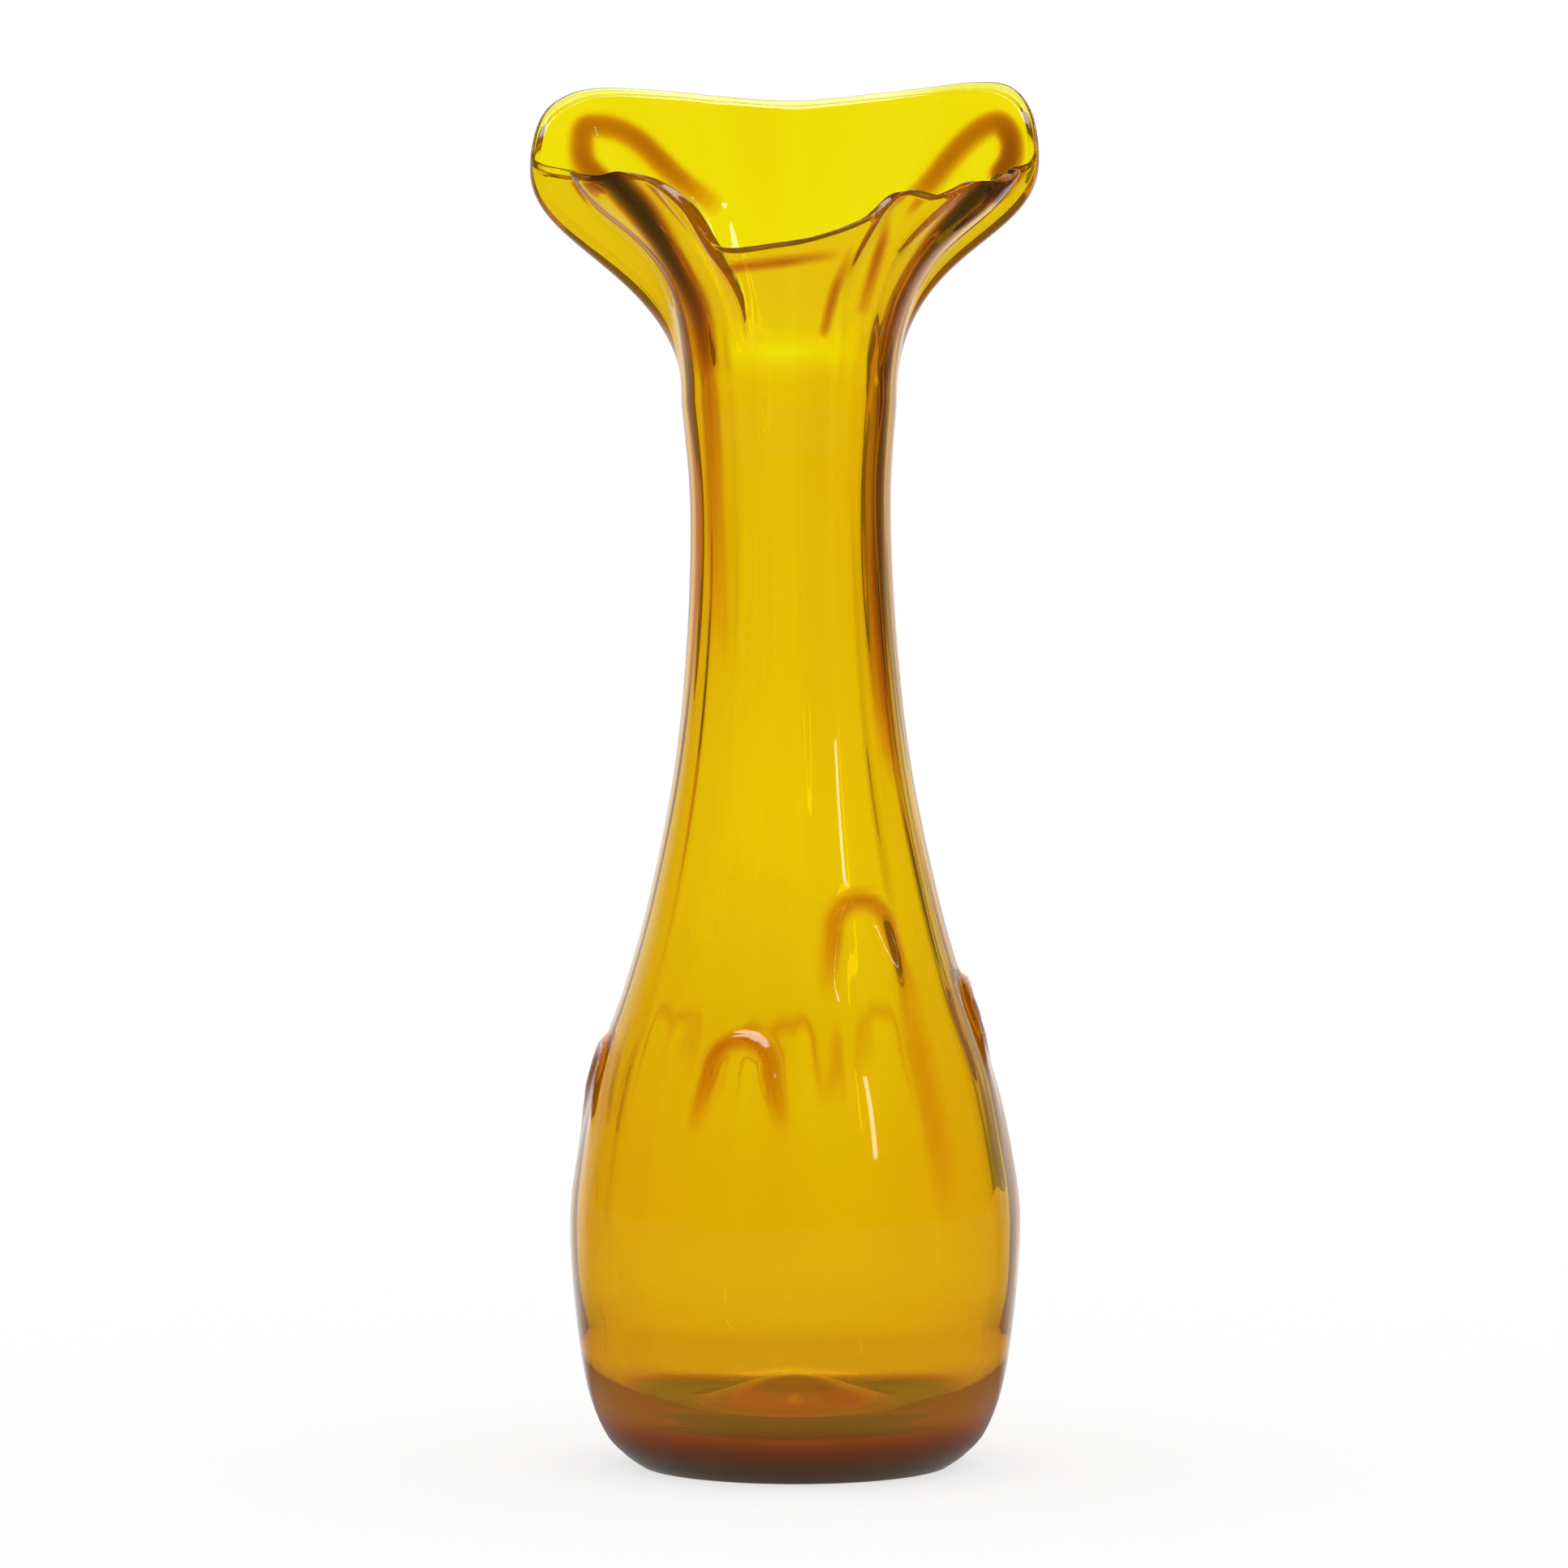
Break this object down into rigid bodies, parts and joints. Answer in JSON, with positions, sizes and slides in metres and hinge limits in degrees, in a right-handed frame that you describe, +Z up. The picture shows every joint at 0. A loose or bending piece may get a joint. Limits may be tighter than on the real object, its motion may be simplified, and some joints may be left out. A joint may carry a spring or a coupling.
{
  "type": "glass vase",
  "caption": "Tall hand-blown amber glass vase: round bowl, long neck, flared two-eared collar with a tall back lip and a low front lip, and small arched nips round the bowl.",
  "frame": {"origin": "middle of the flat foot, on the surface the vase stands on", "axes": "+Z up along the neck; -Y towards the low front lip; +X to the right ear as seen from the front"},
  "size_m": [0.1092, 0.0962, 0.2973],
  "materials": {
    "wall_glass": "clear amber, fire polished",
    "nip_glass": "clear amber, fire polished"
  },
  "bodies": {
    "root": {"vase_body": "wall_glass", "nip_front_left": "nip_glass", "nip_front_right": "nip_glass", "nip_right": "nip_glass", "nip_back_right": "nip_glass", "nip_back": "nip_glass", "nip_back_left": "nip_glass", "nip_left": "nip_glass"}
  },
  "joints": []
}
